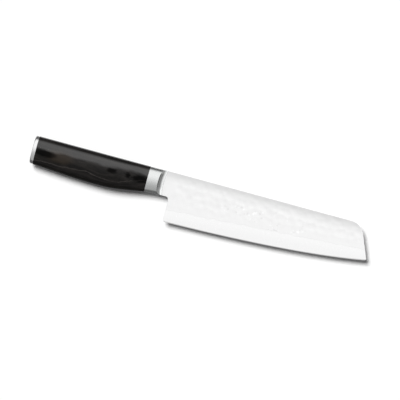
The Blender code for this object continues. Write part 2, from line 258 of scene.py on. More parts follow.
class KnifeGripSettings(bpy.types.PropertyGroup):
    """Sizes and colours of the grip, the bolster and the end cap."""

    cuts: bpy.props.IntProperty(
        name="Fairing cuts", description="Cuts in each facet's edge when the outside is made fair",
        default=3, min=1, max=6)
    bolster_step: bpy.props.FloatProperty(
        name="Bolster mesh step", description="Spacing of the cuts across the bolster",
        default=0.0004, min=0.0002, max=0.002, unit="LENGTH", precision=5)
    rim_ease: bpy.props.FloatProperty(
        name="Rim easing", description="Width of the eased rims where wood and steel meet",
        default=0.00012, min=0.00002, max=0.0005, unit="LENGTH", precision=5)
    wood_colour: bpy.props.FloatVectorProperty(
        name="Dark layers", description="Colour of the wood's dark layers",
        subtype="COLOR", size=3, default=(0.0036, 0.0033, 0.0032), min=0.0, max=1.0)
    wood_line_colour: bpy.props.FloatVectorProperty(
        name="Light layers", description="Colour of the wood's lighter layers",
        subtype="COLOR", size=3, default=(0.0160, 0.0140, 0.0130), min=0.0, max=1.0)
    satin_colour: bpy.props.FloatVectorProperty(
        name="Satin steel", description="Colour of the bolster",
        subtype="COLOR", size=3, default=(0.62, 0.63, 0.625), min=0.0, max=1.0)
    # The scoops' colour is painted light at their lips, and painted shade darkens it towards their ridges.
    scoop_colour: bpy.props.FloatVectorProperty(
        name="Scoop steel", description="Colour of the bolster's scoops at their lips",
        subtype="COLOR", size=3, default=(0.83, 0.84, 0.835), min=0.0, max=1.0)
    polished_colour: bpy.props.FloatVectorProperty(
        name="Polished steel", description="Colour of the end cap",
        subtype="COLOR", size=3, default=(0.68, 0.68, 0.68), min=0.0, max=1.0)


class KnifeStageSettings(bpy.types.PropertyGroup):
    """The camera and the lights."""

    camera_height: bpy.props.FloatProperty(
        name="Camera height", description="Height of the camera above the blade's middle plane",
        default=1.6, min=0.5, max=5.0, unit="LENGTH")
    frame_width: bpy.props.FloatProperty(
        name="Frame width", description="Width that the picture covers at the blade's middle plane",
        default=0.3498, min=0.1, max=2.0, unit="LENGTH", precision=4)
    camera_turn: bpy.props.FloatProperty(
        name="Camera turn", description="Turn of the camera about the line of sight",
        default=math.radians(15.214), subtype="ANGLE")
    lamp_share: bpy.props.FloatProperty(
        name="Lamp share", description="Share of the floor's light that comes from the lamp",
        default=0.92, min=0.0, max=1.0, subtype="FACTOR")
    lamp_spread: bpy.props.FloatProperty(
        name="Lamp spread", description="Angle that the lamp's disc covers, which softens the shadow",
        default=math.radians(24.0), subtype="ANGLE")
    dome_gain: bpy.props.FloatProperty(
        name="Dome gain", description="Brightness of the studio dome's patches in reflections",
        default=1.42, min=0.1, max=3.0)
    card_glow: bpy.props.FloatProperty(
        name="Card brightness", description="Brightness of the dark cards in reflections",
        default=0.17, min=0.0, max=1.0, subtype="FACTOR")


# Meshes.

def merged_copy(node, flat=math.radians(0.02)):
    """A bmesh copy of a solid part. Neighbouring faces that differ by less than the angle are one face."""
    shape = bmesh.new()
    shape.from_mesh(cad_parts[node].data)
    bmesh.ops.remove_doubles(shape, verts=shape.verts, dist=1e-6)
    bmesh.ops.dissolve_limit(shape, angle_limit=flat, verts=shape.verts, edges=shape.edges)
    return shape


def placed(name, data):
    """A new object in the scene."""
    made = bpy.data.objects.new(name, data)
    bpy.context.scene.collection.objects.link(made)
    return made


def mesh_object(name, shape, materials):
    """Makes an object with these materials from a bmesh, and frees the bmesh."""
    mesh = bpy.data.meshes.new(name)
    shape.to_mesh(mesh)
    shape.free()
    for material in materials:
        mesh.materials.append(material)
    return placed(name, mesh)


def finish_piece(shape, node, materials, sharp=math.radians(20.0)):
    """Turns a bmesh into a shown piece that stands for the node and keeps inside the node's box."""
    low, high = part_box(node)
    for corner in shape.verts:
        for axis in range(3):
            corner.co[axis] = min(max(corner.co[axis], low[axis]), high[axis])
    bmesh.ops.recalc_face_normals(shape, faces=shape.faces)
    for face in shape.faces:
        face.smooth = True
    for edge in shape.edges:
        same = len({face.material_index for face in edge.link_faces}) == 1
        edge.smooth = same and edge.calc_face_angle(math.pi) < sharp
    piece = mesh_object(f"{node}_finish", shape, materials)
    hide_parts(node)
    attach(piece, "root")
    return piece


def grip_section(along):
    """The oval's centre below the spine and its half sizes, a distance along the knife from the butt."""
    if along < BELLY_PLACE:
        share = math.sin(math.pi / 2 * max(along, 0.0) / BELLY_PLACE)
        end = BUTT_SIZE
    else:
        share = (1 + math.cos(math.pi * min((along - BELLY_PLACE) / (BOLSTER_END - BELLY_PLACE), 1.0))) / 2
        end = NECK_SIZE
    half_depth, half_thickness = [(low + (full - low) * share) / 2 for low, full in zip(end, BELLY_SIZE)]
    short = max(BUTT_ROUND - max(along, 0.0), 0.0)
    inset = BUTT_ROUND - math.sqrt(BUTT_ROUND ** 2 - short ** 2)
    return half_depth, half_depth - inset, half_thickness - inset


def oval_reach(point):
    """How far out of the grip's axis a point lies, where 1 is on the grip's surface."""
    centre, half_depth, half_thickness = grip_section(point.x - BUTT_X)
    up = abs(point.y - SPINE_Y + centre) / half_depth
    across = abs(point.z - MIDDLE_Z) / half_thickness
    return (up ** SECTION_FULLNESS + across ** SECTION_FULLNESS) ** (1 / SECTION_FULLNESS)


def on_oval(point):
    """The place on the grip's true surface that lies straight out from its axis."""
    axis = Vector((point.x, SPINE_Y - grip_section(point.x - BUTT_X)[0], MIDDLE_Z))
    return axis + (point - axis) / oval_reach(point)


def far_out(face):
    """Whether all corners of a face lie on the grip's oval outside."""
    return all(oval_reach(corner.co) > OUTSIDE_REACH for corner in face.verts)


def is_outside(face):
    """Whether a face lies on the grip's oval outside and looks out of it."""
    if not far_out(face):
        return False
    middle = face.calc_center_median()
    centre, half_depth, half_thickness = grip_section(middle.x - BUTT_X)
    up = (middle.y - SPINE_Y + centre) / half_depth
    across = (middle.z - MIDDLE_Z) / half_thickness
    slope = SECTION_FULLNESS - 1
    out = Vector((0.0, math.copysign(abs(up) ** slope, up) / half_depth,
                  math.copysign(abs(across) ** slope, across) / half_thickness))
    return face.normal.dot(out.normalized()) > OUT_OF_GRIP


def make_fair(shape, cuts):
    """Splits the facets of the grip's outside and lays their corners on the true oval."""
    outside = []
    for face in shape.faces:
        places = [corner.co.x for corner in face.verts]
        if far_out(face) and max(places) - min(places) > SAME_PLACE:
            outside.append(face)
    if not outside:
        raise RuntimeError("the grip's outside wasn't found")
    inside = {corner.co[:] for corner in shape.verts}
    inside -= {corner.co[:] for face in outside for corner in face.verts}
    edges = list({edge for face in outside for edge in face.edges})
    bmesh.ops.subdivide_edges(shape, edges=edges, cuts=cuts, use_grid_fill=True)
    for corner in shape.verts:
        if corner.co[:] not in inside:
            corner.co = on_oval(corner.co)


def bevel(shape, edges, width):
    """Gives edges a small round of this width."""
    bmesh.ops.bevel(shape, geom=edges, offset=width, offset_type="OFFSET", affect="EDGES",
                    segments=2, profile=0.5, material=-1)


def ease_rims(shape, ends, width):
    """Bevels the rims between the grip's flat ends and its outside."""
    rims = []
    for edge in shape.edges:
        at_end = any(all(abs(corner.co.x - end) < SAME_PLACE for corner in edge.verts) for end in ends)
        on_rim = at_end and oval_reach(edge.verts[0].co) > RIM_REACH
        if on_rim and edge.calc_face_angle(0.0) > RIM_ANGLE:
            rims.append(edge)
    bevel(shape, rims, width)


def fair_piece(node, ends, material, settings):
    """Shows the wood or the end cap with its outside made fair and its rims eased."""
    shape = merged_copy(node)
    make_fair(shape, settings.cuts)
    ease_rims(shape, ends, settings.rim_ease)
    finish_piece(shape, node, [material])


def faces_out(face, side):
    """Whether a jacket's face looks out of the blade on this side."""
    return face.normal.z * side > OUT_OF_BLADE


def scoop_frame(node, side):
    """Where a scoop's axis of sweep meets the blade's flat, and the flat's normal, read from the jacket."""
    jacket = merged_copy(node, GROUND_FLAT)
    flat = max((face for face in jacket.faces if faces_out(face, side)), key=lambda face: face.calc_area())
    normal = flat.normal.copy()
    foot = Vector((BUTT_X + BOLSTER_END + SCOOP_SWEEP, SPINE_Y - NECK_SIZE[0] / 2, 0.0))
    foot.z = (flat.calc_center_median() - foot).dot(normal) / normal.z
    jacket.free()
    return foot, normal


def on_scoop(point, foot, normal):
    """The nearest place on a scoop's true surface, and how far out along the sweep it lies."""
    height = (point - foot).dot(normal)
    flat = point - foot - normal * height
    back = (flat.length - SCOOP_SWEEP) / SCOOP_LENGTH
    up = 1 - (height - SCOOP_LIP) / SCOOP_RISE
    reach = math.hypot(back, up)
    place = foot + flat.normalized() * (SCOOP_SWEEP + SCOOP_LENGTH * back / reach)
    return place + normal * (SCOOP_LIP + SCOOP_RISE * (1 - up / reach)), back


def shape_bolster(shape, step):
    """Cuts the bolster fine, then lays its outside on the oval and its scoops on their sweeps."""
    frames = {1: scoop_frame("right_cladding", 1), -1: scoop_frame("left_cladding", -1)}
    for face in shape.faces:
        side = 1 if face.calc_center_median().z > MIDDLE_Z else -1
        near = [on_scoop(corner.co, *frames[side]) + (corner.co,) for corner in face.verts]
        if is_outside(face):
            face.material_index = ON_OVAL
        elif all(back > -SCOOP_LIP_SLACK and (place - point).length < SCOOP_FACET_DEPTH
                 for place, back, point in near):
            face.material_index = ON_SCOOP
    low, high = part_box("bolster")
    for axis in range(3):
        cut_rows(shape, axis, low[axis] - step / 2, high[axis], step)
    for corner in shape.verts:
        kinds = {face.material_index for face in corner.link_faces}
        side = 1 if corner.co.z > MIDDLE_Z else -1
        for _ in range(RIDGE_TURNS if {ON_SCOOP, ON_OVAL} <= kinds else 1):
            if ON_SCOOP in kinds:
                corner.co = on_scoop(corner.co, *frames[side])[0]
            if ON_OVAL in kinds:
                corner.co = on_oval(corner.co)
    for face in shape.faces:
        if face.material_index == ON_OVAL:
            face.material_index = 0
    shape.normal_update()


def cut_rows(shape, axis, start, end, step):
    """Cuts the whole mesh into rows across one axis."""
    normal = Vector((0.0, 0.0, 0.0))
    normal[axis] = 1.0
    rows = int((end - start) / step)
    for row in range(1, rows + 1):
        point = Vector((0.0, 0.0, 0.0))
        point[axis] = start + row * step
        geometry = shape.verts[:] + shape.edges[:] + shape.faces[:]
        bmesh.ops.bisect_plane(shape, geom=geometry, dist=1e-7, plane_co=point, plane_no=normal)


def hammer_marks(settings, seed):
    """Centres, radii and depths of the hammer marks, in rows that are shaken out of line."""
    shake = random.Random(seed)
    marks = []
    step = settings.dimple_spacing
    row = 0
    down = step * FIRST_ROW
    while down < JACKET_DEPTH_AT_HEEL:
        along = HEEL_TOP + step * (0.5 if row % 2 else 1.0)
        while along < TIP_END:
            centre = Vector((BUTT_X + along + shake.uniform(-MARK_SHAKE, MARK_SHAKE) * step,
                             SPINE_Y - down + shake.uniform(-MARK_SHAKE, MARK_SHAKE) * step, 0.0))
            radius = settings.dimple_radius * shake.uniform(1 - MARK_SPREAD, 1 + MARK_SPREAD)
            marks.append((centre, radius, shake.uniform(0.5, 1.0)))
            along += step
        down += step * ROW_DISTANCE
        row += 1
    return marks


def search_tree(places):
    """A tree that finds the nearest of these places."""
    tree = kdtree.KDTree(len(places))
    for number, place in enumerate(places):
        tree.insert(place, number)
    tree.balance()
    return tree


def hammer(shape, side, inner_z, settings, seed):
    """Presses the hammer marks into a jacket's outer face. They fade towards the face's border."""
    outer = [face for face in shape.faces
             if faces_out(face, side) and abs(face.calc_center_median().z - inner_z) > 1e-6]
    corners = {corner for face in outer for corner in face.verts}
    border = [corner.co for corner in corners if not all(faces_out(face, side) for face in corner.link_faces)]
    near_border = search_tree(border)
    marks = hammer_marks(settings, seed)
    near_mark = search_tree([mark[0] for mark in marks])
    widest = settings.dimple_radius * (1 + MARK_SPREAD)
    for corner in corners:
        from_border = near_border.find(corner.co)[2]
        from_heel = max(corner.co.x - BUTT_X - HEEL_TOP, 0.0)
        strength = min(from_border / BORDER_FADE, from_heel / HEEL_FADE, 1.0)
        if strength <= 0.0:
            continue
        pressed = 0.0
        for _, number, distance in near_mark.find_range(Vector((*corner.co.xy, 0.0)), widest):
            radius, share = marks[number][1:]
            if distance < radius:
                pressed = max(pressed, share * (1 - (distance / radius) ** 2) ** 1.5)
        deepest = min(settings.dimple_depth, abs(corner.co.z - inner_z) * MARK_WALL_SHARE)
        depth = deepest * pressed * strength * strength * (3 - 2 * strength)
        corner.co.z -= side * depth


def ease_spine(shape, side, inner_z, width):
    """Bevels the outer face's border where the jacket is thick enough."""
    rims = []
    for edge in shape.edges:
        if len(edge.link_faces) != 2 or edge.calc_face_angle(0.0) < SPINE_ANGLE:
            continue
        thick = all(abs(corner.co.z - inner_z) > 2 * width for corner in edge.verts)
        clear = all(corner.co.x - BUTT_X > BOLSTER_FRONT + width for corner in edge.verts)
        if thick and clear and any(faces_out(face, side) for face in edge.link_faces):
            rims.append(edge)
    bevel(shape, rims, width)


# Materials.

def feed(node, feeds):
    """Gives each input of a node, by name or place, its value, or links it to the socket that drives it."""
    for name, value in feeds.items():
        if isinstance(value, bpy.types.NodeSocket):
            node.id_data.links.new(value, node.inputs[name])
        else:
            node.inputs[name].default_value = value


def wired(tree, kind, feeds=None, **settings):
    """Adds a node with these feeds and settings."""
    made = tree.nodes.new(kind)
    for name, value in settings.items():
        setattr(made, name, value)
    feed(made, feeds or {})
    return made


def calc(tree, operation, *feeds):
    """The output of a node that calculates with values."""
    return wired(tree, "ShaderNodeMath", dict(enumerate(feeds)), operation=operation).outputs[0]


def times(tree, first, second):
    """The product of two values."""
    return calc(tree, "MULTIPLY", first, second)


def minus(tree, first, second):
    """The first value less the second."""
    return calc(tree, "SUBTRACT", first, second)


def linear(tree, value, slope, base):
    """A value times the slope plus the base."""
    return calc(tree, "MULTIPLY_ADD", value, slope, base)


def vector_calc(tree, operation, *feeds):
    """The output of a node that calculates with vectors or colours."""
    return wired(tree, "ShaderNodeVectorMath", dict(enumerate(feeds)), operation=operation).outputs[0]


def scaled(tree, vector, factor):
    """A vector or colour times a value."""
    return wired(tree, "ShaderNodeVectorMath", {0: vector, "Scale": factor}, operation="SCALE").outputs[0]


def noise(tree, point, scale, detail, roughness=0.5, stretch=None):
    """The outputs of a soft noise over space, whose coordinates can be stretched first."""
    if stretch is not None:
        point = vector_calc(tree, "MULTIPLY", point, stretch)
    feeds = {"Vector": point, "Scale": scale, "Detail": detail, "Roughness": roughness}
    return wired(tree, "ShaderNodeTexNoise", feeds).outputs


def fade(tree, value, start, end, before=0.0, after=1.0):
    """Goes smoothly from before to after while the value goes from start to end."""
    feeds = {"Value": value, "From Min": start, "From Max": end, "To Min": before, "To Max": after}
    return wired(tree, "ShaderNodeMapRange", feeds, interpolation_type="SMOOTHSTEP").outputs[0]


def mixed(tree, share, first, second):
    """A colour between two colours."""
    feeds = {0: share}
    for place, colour in ((6, first), (7, second)):
        feeds[place] = colour if isinstance(colour, bpy.types.NodeSocket) else (*colour, 1.0)
    return wired(tree, "ShaderNodeMix", feeds, data_type="RGBA").outputs[2]


def ramp(tree, value, stops):
    """A value read off a line through the stops, each (place, value)."""
    made = wired(tree, "ShaderNodeValToRGB", {"Fac": value})
    points = made.color_ramp.elements
    while len(points) < len(stops):
        points.new(0.5)
    for point, (place, level) in zip(points, stops):
        point.position = place
        point.color = (level, level, level, 1.0)
    return made.outputs["Color"]


def new_group(name, inputs, outputs):
    """A new shader group: its tree, the sockets that feed it and the node that takes its results."""
    tree = bpy.data.node_groups.new(name, "ShaderNodeTree")
    for title, kind, value in inputs:
        socket = tree.interface.new_socket(title, in_out="INPUT", socket_type=kind)
        if value is not None:
            socket.default_value = value
    for title, kind in outputs:
        tree.interface.new_socket(title, in_out="OUTPUT", socket_type=kind)
    return tree, wired(tree, "NodeGroupInput").outputs, wired(tree, "NodeGroupOutput")


def group_node(tree, name, feeds):
    """The outputs of a node that uses one of the shader groups."""
    return wired(tree, "ShaderNodeGroup", feeds, node_tree=bpy.data.node_groups[name]).outputs


def layer_lines(tree, point, height, spacing, swirl, swirl_size):
    """Lines of bent layers, from their shader group."""
    feeds = {"Vector": point, "Height": height, "Spacing": spacing, "Swirl": swirl, "Swirl Size": swirl_size}
    return group_node(tree, "layer_lines", feeds)[0]


def brushed_grain(tree, point, stretch, scale):
    """Fine scratches, from their shader group."""
    feeds = {"Vector": point, "Stretch": stretch, "Scale": scale}
    return group_node(tree, "brushed_grain", feeds)[0]


def build_layer_lines():
    """Lines where bent layers come to the surface. Height is measured across the layers."""
    tree, given, made = new_group(
        "layer_lines",
        [("Vector", "NodeSocketVector", None), ("Height", "NodeSocketFloat", 0.0),
         ("Spacing", "NodeSocketFloat", 0.001), ("Swirl", "NodeSocketFloat", 0.002),
         ("Swirl Size", "NodeSocketFloat", 0.01)],
        [("Lines", "NodeSocketFloat")])
    scale = calc(tree, "DIVIDE", 1.0, given["Swirl Size"])
    swirl = noise(tree, given["Vector"], scale, detail=2.0, roughness=0.45)["Fac"]
    bend = times(tree, minus(tree, swirl, 0.5), given["Swirl"])
    height = calc(tree, "ADD", given["Height"], bend)
    turns = calc(tree, "DIVIDE", height, given["Spacing"])
    wave = calc(tree, "SINE", times(tree, turns, 2 * math.pi))
    feed(made, {"Lines": linear(tree, wave, 0.5, 0.5)})


def build_brushed_grain():
    """Fine scratches, long in the direction where Stretch is small."""
    tree, given, made = new_group(
        "brushed_grain",
        [("Vector", "NodeSocketVector", None), ("Stretch", "NodeSocketVector", (1.0, 1.0, 1.0)),
         ("Scale", "NodeSocketFloat", 1000.0)],
        [("Grain", "NodeSocketFloat")])
    grain = noise(tree, given["Vector"], given["Scale"], detail=3.0, roughness=0.6,
                  stretch=given["Stretch"])["Fac"]
    feed(made, {"Grain": grain})


def spot(tree, point, along, down, out, size):
    """A soft oval mark, 1 at its middle and 0 outside."""
    centre = (BUTT_X + along, SPINE_Y - down, MIDDLE_Z + out)
    offset = vector_calc(tree, "DIVIDE", vector_calc(tree, "SUBTRACT", point, centre), size)
    length = wired(tree, "ShaderNodeVectorMath", {0: offset}, operation="LENGTH").outputs["Value"]
    return fade(tree, length, 1.2, 0.5)


def hammer_glints(tree, point):
    """Painted glints: light and dark flecks of colour in loose groups, where the hammer marks catch the
    light, and 1 elsewhere.
    """
    flecks = noise(tree, point, scale=430.0, detail=1.0)["Fac"]
    flecks = minus(tree, fade(tree, flecks, 0.60, 0.70), fade(tree, flecks, 0.40, 0.30))
    groups = fade(tree, noise(tree, point, scale=95.0, detail=1.0)["Fac"], 0.45, 0.58)
    place = times(tree, spot(tree, point, *GLINT_PLACE), groups)
    return linear(tree, times(tree, flecks, place), 0.10, 1.0)


def layered_tone(tree, point, down, lines):
    """Tone of the layered steel: darker towards the spine by painted shade, with etched layers, faint clouds
    and painted glints.
    """
    # Painted shade: the tone darkens towards the spine.
    shade = ramp(tree, calc(tree, "DIVIDE", down, SHADE_DEPTH), SPINE_PAINTED_SHADE)
    clouds = noise(tree, point, scale=90.0, detail=2.0)["Fac"]
    etched = linear(tree, lines, -0.05, 1.02)
    etched = times(tree, etched, linear(tree, clouds, 0.03, 0.985))
    # Painted glints: flecks of colour where the hammer marks catch the light.
    etched = times(tree, etched, hammer_glints(tree, point))
    return scaled(tree, shade, etched)


def past_weld(tree, point, along, down):
    """How far below the weld line a point lies. The line wanders a little."""
    wander = noise(tree, point, scale=150.0, detail=2.5, roughness=0.55, stretch=(1.0, 0.15, 0.0))["Fac"]
    share = calc(tree, "DIVIDE", minus(tree, along, HEEL_END), TIP_END - HEEL_END)
    weld = linear(tree, share, JACKET_DEPTH_AT_TIP - JACKET_DEPTH_AT_HEEL, JACKET_DEPTH_AT_HEEL)
    weld = calc(tree, "ADD", weld, linear(tree, wander, *WELD_WANDER))
    return minus(tree, down, weld)


def build_blade_face(settings):
    """Colour, roughness and height of a ground blade face: etched layers above the weld, hard steel below."""
    tree, given, made = new_group(
        "blade_face",
        [("Vector", "NodeSocketVector", None),
         ("Layered Colour", "NodeSocketColor", (0.9, 0.9, 0.9, 1.0)),
         ("Edge Colour", "NodeSocketColor", (0.95, 0.95, 0.95, 1.0))],
        [("Colour", "NodeSocketColor"), ("Roughness", "NodeSocketFloat"), ("Height", "NodeSocketFloat")])
    point = given["Vector"]
    split = wired(tree, "ShaderNodeSeparateXYZ", {0: point}).outputs
    down = minus(tree, SPINE_Y, split["Y"])
    along = minus(tree, split["X"], BUTT_X)
    lines = layer_lines(tree, point, split["Y"], settings.layer_spacing,
                        swirl=0.0032, swirl_size=0.0085)
    polish = brushed_grain(tree, point, stretch=(0.06, 1.0, 1.0), scale=5200.0)
    honing = brushed_grain(tree, point, stretch=(1.0, 0.05, 1.0), scale=6500.0)
    tone = layered_tone(tree, point, down, lines)
    above = vector_calc(tree, "MULTIPLY", given["Layered Colour"], tone)
    below_weld = past_weld(tree, point, along, down)
    hard = fade(tree, below_weld, -WELD_BLEND, WELD_BLEND)
    seam = minus(tree, 1.0, fade(tree, calc(tree, "ABSOLUTE", below_weld), *SEAM_FADE))
    colour = mixed(tree, hard, above, given["Edge Colour"])
    colour = mixed(tree, times(tree, seam, SEAM_STRENGTH), colour, SEAM_COLOUR)
    rough_above = linear(tree, lines, 0.10, linear(tree, polish, 0.10, 0.27))
    rough_below = linear(tree, honing, 0.10, 0.24)
    rough = wired(tree, "ShaderNodeMix", {0: hard, 2: rough_above, 3: rough_below}, data_type="FLOAT")
    height_above = linear(tree, lines, 0.7, times(tree, polish, 0.3))
    relief = wired(tree, "ShaderNodeMix", {0: hard, 2: height_above, 3: honing}, data_type="FLOAT")
    feed(made, {"Colour": colour, "Roughness": rough.outputs[0], "Height": relief.outputs[0]})


def empty_tree(owner):
    """The cleared node tree of a new material or world."""
    owner.use_nodes = True
    owner.node_tree.nodes.clear()
    return owner.node_tree


def new_material(name):
    """A material with an empty tree, its shader and the object's coordinates."""
    material = bpy.data.materials.new(name)
    tree = empty_tree(material)
    shader = wired(tree, "ShaderNodeBsdfPrincipled")
    wired(tree, "ShaderNodeOutputMaterial", {"Surface": shader.outputs[0]})
    point = wired(tree, "ShaderNodeTexCoord").outputs["Object"]
    return material, tree, shader, point


def add_bump(tree, shader, height, depth, strength):
    """Gives the shader a fine relief, whose height of 1 stands for the depth."""
    bump = wired(tree, "ShaderNodeBump", {"Height": height, "Distance": depth, "Strength": strength})
    feed(shader, {"Normal": bump.outputs[0]})


def blade_material(name, settings):
    """Ground steel for the jackets and the core, with one pattern that runs across both."""
    material, tree, shader, point = new_material(name)
    face = group_node(tree, "blade_face", {"Vector": point, "Layered Colour": (*settings.layered_colour, 1.0),
                                           "Edge Colour": (*settings.edge_colour, 1.0)})
    feed(shader, {"Metallic": 1.0, "Base Color": face["Colour"], "Roughness": face["Roughness"]})
    add_bump(tree, shader, face["Height"], depth=0.00001, strength=0.5)
    return material


def turned_steel(name, colour, roughness, scratch):
    """Steel ground round the grip's axis, with fine scratches that run round it."""
    material, tree, shader, point = new_material(name)
    grain = brushed_grain(tree, point, stretch=(1.0, 0.04, 0.04), scale=scratch)
    clouds = noise(tree, point, scale=220.0, detail=2.0)["Fac"]
    tone = linear(tree, grain, 0.10, 0.93)
    tone = times(tree, tone, linear(tree, clouds, 0.04, 0.98))
    feed(shader, {"Metallic": 1.0, "Base Color": scaled(tree, colour, tone),
                  "Roughness": linear(tree, grain, 0.12, roughness - 0.06)})
    add_bump(tree, shader, grain, depth=0.000004, strength=0.4)
    return material, tree, shader, point


def scooped_steel_painted_shade(settings):
    """The bolster's scoops, with painted light and shade in their colour: bright where they run out on the
    blade, darker up to their ridge.
    """
    material, tree, shader, point = turned_steel("scooped_steel_painted_shade", settings.scoop_colour,
                                                 roughness=0.24, scratch=3800.0)
    split = wired(tree, "ShaderNodeSeparateXYZ", {0: point}).outputs
    aside = minus(tree, split["Y"], SPINE_Y - NECK_SIZE[0] / 2)
    bow = calc(tree, "DIVIDE", times(tree, aside, aside), 2 * SCOOP_SWEEP)
    front = calc(tree, "ADD", bow, BUTT_X + BOLSTER_END)
    back = minus(tree, front, split["X"])
    # Painted shade: darker from the lip up to the ridge, lighter towards the edge and towards the spine.
    shade = ramp(tree, calc(tree, "DIVIDE", back, SCOOP_LENGTH), SCOOP_PAINTED_SHADE)
    shade = times(tree, shade, fade(tree, aside, *SCOOP_EDGE_FADE, before=1.0, after=1.40))
    shade = calc(tree, "MINIMUM", shade, 0.97)
    shade = calc(tree, "MAXIMUM", shade, fade(tree, aside, *SCOOP_SPINE_FADE, after=0.60))
    plain = shader.inputs["Base Color"].links[0].from_socket
    feed(shader, {"Base Color": vector_calc(tree, "MULTIPLY", plain, shade)})
    return material


def pale_layer_and_painted_highlight(tree, along, down, shake):
    """A thin pale wavy line low on the grip: a pale layer in the wood with a painted highlight along the
    grip's lower side.
    """
    course = ramp(tree, calc(tree, "DIVIDE", along, BOLSTER_END), PALE_COURSE)
    centre = linear(tree, course, BELLY_SIZE[0], times(tree, shake, PALE_WANDER))
    return fade(tree, calc(tree, "ABSOLUTE", minus(tree, down, centre)), *PALE_FADE)


def wood_coat(tree, point, along, down, knots):
    """How much clear polish shows on the wood: all of it near the back, little on the belly and the knots."""
    wander = noise(tree, point, scale=95.0, detail=3.0, stretch=(0.45, 1.0, 1.0))["Fac"]
    border = calc(tree, "ADD", down, linear(tree, wander, *COAT_WANDER))
    border = calc(tree, "ADD", border, fade(tree, along, *COAT_RISE_PLACE, after=COAT_RISE))
    clear = fade(tree, border, *COAT_BORDER, before=1.0, after=0.17)
    rubbed = calc(tree, "MAXIMUM", fade(tree, down, *RUBBED_START, before=1.0, after=0.45),
                  fade(tree, down, *RUBBED_END, before=0.45))
    clear = times(tree, clear, rubbed)
    return times(tree, clear, linear(tree, knots, -0.9, 1.0))


def wood_material(settings):
    """Near-black laminated wood under a clear polish: bent layers, knots and a browner patch."""
    material, tree, shader, point = new_material("laminated_wood")
    split = wired(tree, "ShaderNodeSeparateXYZ", {0: point}).outputs
    along = minus(tree, split["X"], BUTT_X)
    down = minus(tree, SPINE_Y, split["Y"])
    depth = calc(tree, "ABSOLUTE", minus(tree, split["Z"], MIDDLE_Z))
    drawn = vector_calc(tree, "MULTIPLY", point, (0.22, 1.0, 1.0))
    lines = layer_lines(tree, drawn, depth, spacing=0.0016, swirl=0.0042, swirl_size=0.0095)
    fine = layer_lines(tree, drawn, depth, spacing=0.00042, swirl=0.0030, swirl_size=0.0060)
    pores = brushed_grain(tree, point, stretch=(0.05, 1.0, 1.0), scale=1500.0)
    clouds = noise(tree, point, scale=170.0, detail=3.0, roughness=0.55, stretch=(0.4, 1.0, 1.0))["Fac"]
    light = times(tree, calc(tree, "POWER", lines, 2.5), 0.55)
    light = linear(tree, fine, 0.20, light)
    light = calc(tree, "ADD", light, fade(tree, clouds, 0.42, 0.66, after=0.45))
    light = times(tree, light, linear(tree, pores, 0.6, 0.7))

    wobble = noise(tree, point, scale=260.0, detail=4.0, roughness=0.6, stretch=(0.5, 1.0, 1.0))
    shaken = vector_calc(tree, "SUBTRACT", wobble["Color"], (0.5, 0.5, 0.5))
    moved = vector_calc(tree, "ADD", point, vector_calc(tree, "MULTIPLY", shaken, (0.010, 0.0042, 0.0042)))
    knots = 0.0
    for knot in KNOTS:
        knots = calc(tree, "MAXIMUM", knots, spot(tree, moved, *knot))
    brown = times(tree, spot(tree, moved, *BROWN_PLACE), 0.55)
    shake = minus(tree, linear(tree, wobble["Fac"], 0.5, clouds), 0.75)
    broken = fade(tree, pores, 0.3, 0.55, before=0.35)
    # The pale line: a pale layer and a painted highlight, broken by the pores and faint towards the bolster.
    pale = times(tree, pale_layer_and_painted_highlight(tree, along, down, shake), broken)
    pale = times(tree, pale, fade(tree, along, *PALE_END, before=1.0, after=0.3))
    colour = mixed(tree, light, settings.wood_colour, settings.wood_line_colour)
    colour = mixed(tree, brown, colour, BROWN_COLOUR)
    colour = mixed(tree, times(tree, knots, 0.95), colour, KNOT_COLOUR)
    colour = mixed(tree, times(tree, pale, 0.75), colour, PALE_HIGHLIGHT_COLOUR)

    feed(shader, {"Base Color": colour, "Roughness": linear(tree, pores, 0.10, 0.34),
                  "Specular IOR Level": 0.03, "Coat Weight": wood_coat(tree, point, along, down, knots),
                  "Coat Roughness": 0.14, "Coat IOR": 1.62})
    height = linear(tree, lines, 0.5, times(tree, pores, 0.5))
    add_bump(tree, shader, height, depth=0.00002, strength=0.25)
    return material


# Stage.

def seen_share(tree):
    """1 for a ray that shows the camera the studio, directly or mirrored, and 0 for one that lights."""
    path = wired(tree, "ShaderNodeLightPath").outputs
    seen = calc(tree, "MAXIMUM", path["Is Camera Ray"], path["Is Glossy Ray"])
    seen = calc(tree, "MAXIMUM", seen, path["Is Transmission Ray"])
    return times(tree, seen, calc(tree, "LESS_THAN", path["Diffuse Depth"], 0.5))


def add_floor():
    """A pale floor: white where it is seen or mirrored, with the knife's shadow kept."""
    material = bpy.data.materials.new("pale_floor")
    tree = empty_tree(material)
    seen = seen_share(tree)
    paint = wired(tree, "ShaderNodeBsdfDiffuse", {"Color": mixed(tree, seen, FLOOR_GREY, WHITE)})
    glow = wired(tree, "ShaderNodeEmission", {"Strength": times(tree, seen, FLOOR_GLOW)})
    both = wired(tree, "ShaderNodeAddShader", {0: paint.outputs[0], 1: glow.outputs[0]})
    wired(tree, "ShaderNodeOutputMaterial", {"Surface": both.outputs[0]})
    shape = bmesh.new()
    bmesh.ops.create_circle(shape, cap_ends=True, segments=64, radius=FLOOR_RADIUS)
    floor = mesh_object("floor", shape, [material])


